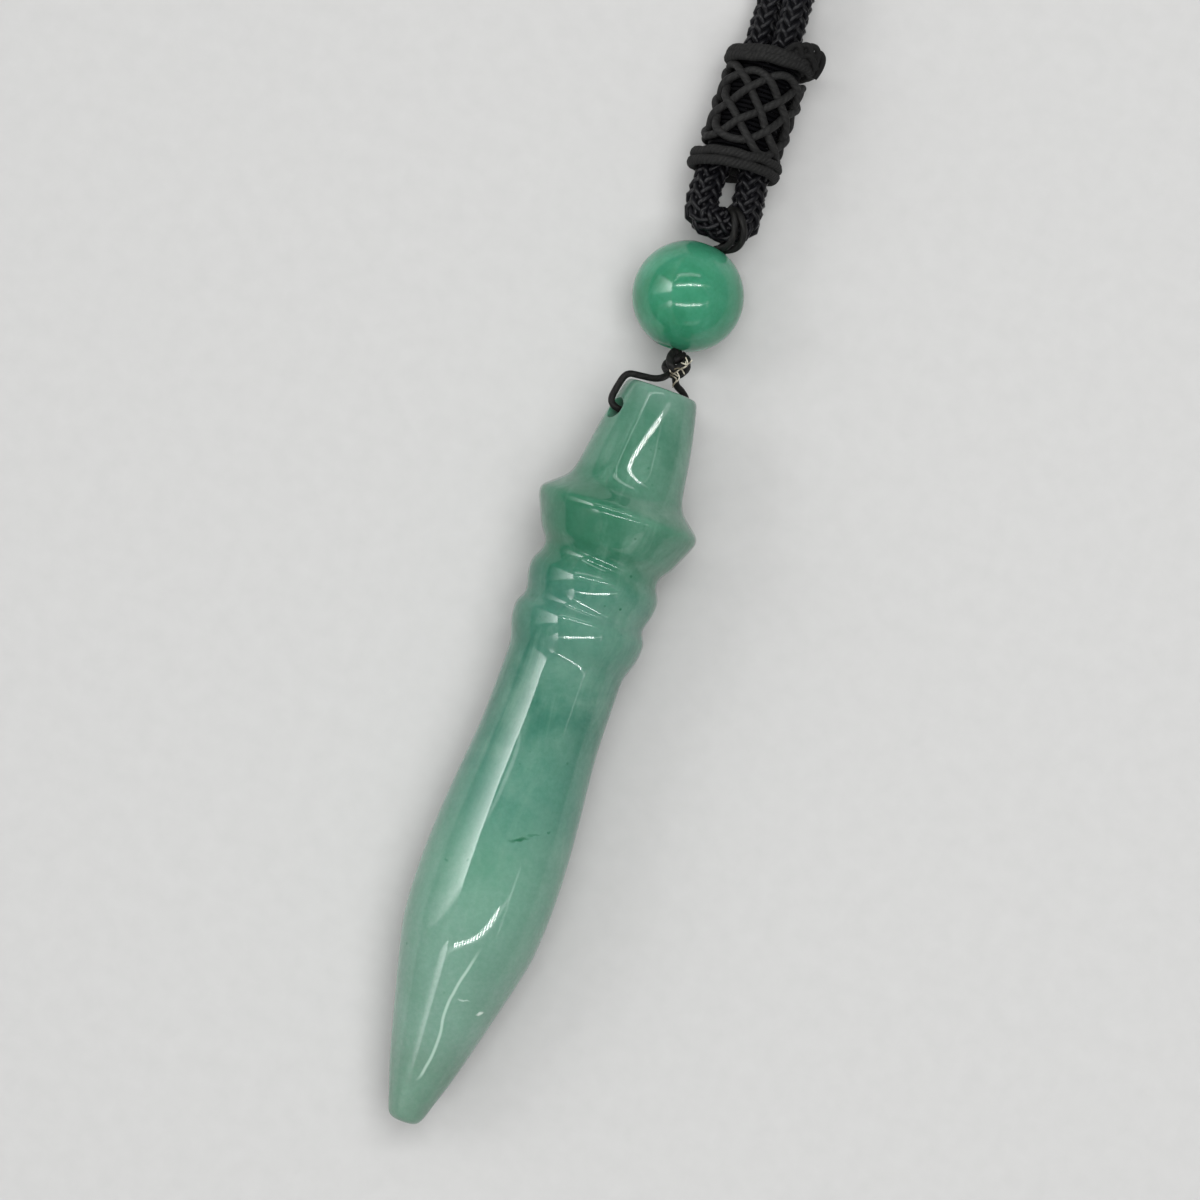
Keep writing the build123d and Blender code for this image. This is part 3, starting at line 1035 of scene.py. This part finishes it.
outline = bpy.data.curves.new("outline", "CURVE")
outline.dimensions = "3D"
outline.resolution_u = 6
spline = outline.splines.new("NURBS")
spline.points.add(len(stone_outline) - 1)
for point, (place, radius) in zip(spline.points, stone_outline):
    point.co = (radius * mm, -place * mm, 0, 1)
spline.order_u = 4
spline.use_endpoint_u = True
holder = bpy.data.objects.new("outline", outline)
chain = bmesh.new()
chain.from_mesh(bpy.data.meshes.new_from_object(holder))
bpy.data.objects.remove(holder)
drop = link_piece("crystal_drop", spun("crystal_drop", chain, stone_steps), stone)
bore_line = Vector((math.cos(bore_turn), 0, -math.sin(bore_turn))) * bore_reach
bore_middle = Vector((0, -bore_depth, 0))
drilled(drop, bore_middle - bore_line, bore_middle + bore_line, bore_radius)
drop.data.transform(stone_turn)
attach(drop, "root")
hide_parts("pendant_stone")


# The bead: a round bead of the same green stone, a little deeper in colour, tumbled smooth and
# drilled through along the necklace. The thread fills most of its bore.
bead_radius = 4.0 * mm
bead_centre = Vector((11.44, -107.824, 4.0)) * mm
bead_bore = 0.9 * mm
hole_rounding = 0.12 * mm
bead_steps = 96
bead_rows = 64
bead_stone = stone_finish(
    "deep green stone",
    cloudy_group,
    place=bead_centre,
    turn=(0.3, 0.2, 0),
    base=(0.035, 0.22, 0.125, 1),
    pale=(0.1, 0.34, 0.23, 1),
    scale=230.0,
    clouds=0.6,
    flecks=0.0,
    glow=0.8,
    polish=0.11,
)[0]
mouth = math.asin((bead_bore + hole_rounding) / bead_radius)
chain = bmesh.new()
first_rim = chain.verts.new((bead_radius * math.sin(mouth), -bead_radius * math.cos(mouth), 0))
bmesh.ops.spin(
    chain,
    geom=[first_rim],
    cent=(0, 0, 0),
    axis=(0, 0, 1),
    angle=math.pi - 2 * mouth,
    steps=bead_rows,
    use_duplicate=False,
)
chain.verts.ensure_lookup_table()
rims = sorted(chain.verts, key=lambda vertex: vertex.co.y)
walls = []
for rim, inwards in ((rims[0], 1), (rims[-1], -1)):
    wall = chain.verts.new((bead_bore, rim.co.y + inwards * hole_rounding, 0))
    chain.edges.new((rim, wall))
    walls.append(wall)
chain.edges.new(walls)
bead = link_piece("round_bead", spun("round_bead", chain, bead_steps), bead_stone)
bead.data.transform(Matrix.Translation(bead_centre))
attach(bead, "root")
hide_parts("bead")


# The thread: one thin waxed black thread. It is knotted above the stone, runs doubled up through
# the bead and round the cord's fold, and runs down over the rim of the stone's neck, through the
# bore and back. Short pale fibres, cream and brown, curl out of the knot.
thread_radius = 0.25 * mm
thread_step = 0.1 * mm
# The thread's black, and its painted sheen
thread_dark = (0.004, 0.004, 0.004, 1)
thread_sheen = (0.015, 0.0145, 0.013, 1)
thread_black = strand_material(
    "waxed thread",
    turns=24,
    plies=3,
    matt=0.6,
    dark=thread_dark,
    light=thread_sheen,
    depth=0.03 * mm,
    specular=0.25,
)

fold_loops = [
    [
        (12.3, -112.6, 4.7),
        (12.1, -112.2, 4.5),
        (11.85, -111.5, 4.3),
        (11.75, -107.8, 4.25),
        (11.9, -104.2, 4.3),
        (12.4, -103.9, 4.7),
        (13.0, -103.65, 5.3),
        (13.1, -102.5, 5.85),
        (12.6, -101.3, 5.6),
        (12.15, -100.85, 4.2),
        (12.3, -101.2, 2.7),
        (12.7, -102.6, 2.5),
        (12.6, -103.6, 3.2),
        (11.9, -104.2, 3.7),
        (11.75, -107.8, 3.75),
        (11.85, -111.5, 3.8),
        (12.1, -112.4, 4.2),
    ],
    [
        (12.5, -112.6, 4.7),
        (12.2, -112.1, 4.4),
        (12.05, -111.5, 4.1),
        (12.1, -107.8, 4.0),
        (12.2, -104.1, 4.2),
        (12.8, -103.95, 4.4),
        (13.7, -103.5, 4.9),
        (13.8, -102.4, 5.75),
        (13.1, -101.3, 5.8),
        (12.35, -100.8, 4.3),
        (12.5, -101.1, 2.7),
        (13.2, -102.4, 2.5),
        (13.0, -103.5, 3.3),
        (12.2, -104.1, 3.9),
        (12.1, -107.8, 3.8),
        (12.05, -111.5, 3.9),
    ],
]
fold_lines = [spline_path(loop, thread_step) for loop in fold_loops]
fold_thread = tube_curve("fold_loops", fold_lines, thread_radius, thread_black, sides=3)
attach(fold_thread, "root")
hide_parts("fold_thread")


def by_stone(side, up, out):
    """Route point in millimetres from one beside, along and above the stone's axis at its top."""
    return tuple(stone_turn @ (Vector((side, up, out)) * mm) / mm)


neck_route = [
    (12.2, -112.9, 4.9),
    (12.15, -113.5, 5.2),
    by_stone(-0.5, 0.5, 0.5),
    by_stone(-1.9, 0.32, 1.05),
    by_stone(-2.8, 0.2, 1.25),
    by_stone(-3.08, -0.9, 1.3),
    by_stone(-3.25, -2.1, 1.55),
    by_stone(-2.45, -2.5, 1.42),
    by_stone(0.0, -2.4, 0.0),
    by_stone(2.3, -2.5, -1.33),
    by_stone(2.9, -2.2, -1.85),
    by_stone(2.4, -0.9, -2.45),
    by_stone(1.5, 0.35, -2.6),
    (12.6, -114.1, 4.2),
    (12.4, -113.2, 4.6),
]
neck_line = spline_path(neck_route, thread_step)
neck_thread = tube_curve("neck_loop_thread", [neck_line], thread_radius, thread_black, sides=3)
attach(neck_thread, "root")
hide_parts("stone_thread")

knot_centre = Vector((12.27, -112.8, 4.76))
knot_size = 1.18
knot_thread_radius = 0.29 * mm
knot_route = [
    (-0.35, 0.75, -0.1),
    (-0.55, 0.35, 0.35),
    (-0.25, -0.25, 0.75),
    (0.45, -0.45, 0.5),
    (0.75, 0.05, 0.0),
    (0.4, 0.55, -0.45),
    (-0.3, 0.3, -0.65),
    (-0.65, -0.2, -0.15),
    (-0.35, -0.6, 0.35),
    (0.3, -0.15, 0.75),
    (0.65, 0.4, 0.45),
    (0.35, 0.65, 0.0),
    (-0.3, 0.15, 0.25),
    (-0.55, -0.4, -0.35),
    (0.1, -0.65, -0.4),
    (0.6, -0.3, -0.3),
    (0.55, 0.35, -0.1),
    (0.15, 0.7, 0.3),
]
knot_points = [tuple(knot_centre + Vector(point) * knot_size) for point in knot_route]
knot_line = spline_path(knot_points, thread_step)
tangle = tube_curve("thread_tangle", [knot_line], knot_thread_radius, thread_black, sides=3)
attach(tangle, "root")
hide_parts("thread_knot")

fibre_radius = 0.045 * mm
fibre_routes = [
    [
        (12.75, -112.1, 5.5), (12.95, -112.3, 5.75), (13.1, -112.6, 5.8),
        (12.9, -112.9, 5.95), (12.65, -113.1, 5.8),
    ],
    [
        (12.85, -112.4, 5.6), (13.05, -112.75, 5.9), (12.75, -112.95, 6.05),
        (12.55, -113.25, 5.95), (12.3, -113.6, 5.75),
    ],
    [
        (12.5, -113.3, 5.8), (12.85, -113.55, 5.95), (12.8, -113.9, 6.1),
        (12.6, -114.2, 6.3), (12.62, -114.5, 6.5),
    ],
    [
        (12.1, -113.65, 5.7), (12.35, -113.7, 5.95), (12.6, -113.75, 6.0),
        (12.75, -113.95, 6.15), (12.55, -114.35, 6.4),
    ],
    [(12.6, -112.6, 5.9), (12.9, -112.65, 6.1), (13.2, -112.45, 6.0), (13.25, -112.15, 5.8)],
    [(12.3, -113.2, 5.9), (12.55, -113.0, 6.1), (12.85, -113.05, 6.1), (13.1, -113.3, 5.9)],
    [(12.0, -113.3, 5.6), (12.1, -113.55, 5.9), (12.4, -113.5, 6.05), (12.7, -113.6, 6.1)],
]
fibre_pale, fibre_nodes, fibre_links, fibre_shader = new_material("frayed fibre")
fibre_place = fibre_nodes.new("ShaderNodeTexCoord")
fibre_noise = fibre_nodes.new("ShaderNodeTexNoise")
fibre_noise.inputs["Scale"].default_value = 1500.0
fibre_links.new(fibre_place.outputs["Object"], fibre_noise.inputs["Vector"])
fibre_share = range_node(fibre_pale.node_tree, fibre_noise.outputs["Fac"], 0.35, 0.65, 0, 1)
fibre_brown = (0.09, 0.075, 0.045, 1)
fibre_cream = (0.7, 0.66, 0.54, 1)
fibre_shade = colour_mix(fibre_pale.node_tree, fibre_share, fibre_brown, fibre_cream)
fibre_links.new(fibre_shade, fibre_shader.inputs["Base Color"])
fibre_shader.inputs["Roughness"].default_value = 0.4
fibre_lines = [spline_path(route, 0.03 * mm) for route in fibre_routes]
fibres = tube_curve("frayed_fibres", fibre_lines, fibre_radius, fibre_pale, sides=1)
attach(fibres, "root")
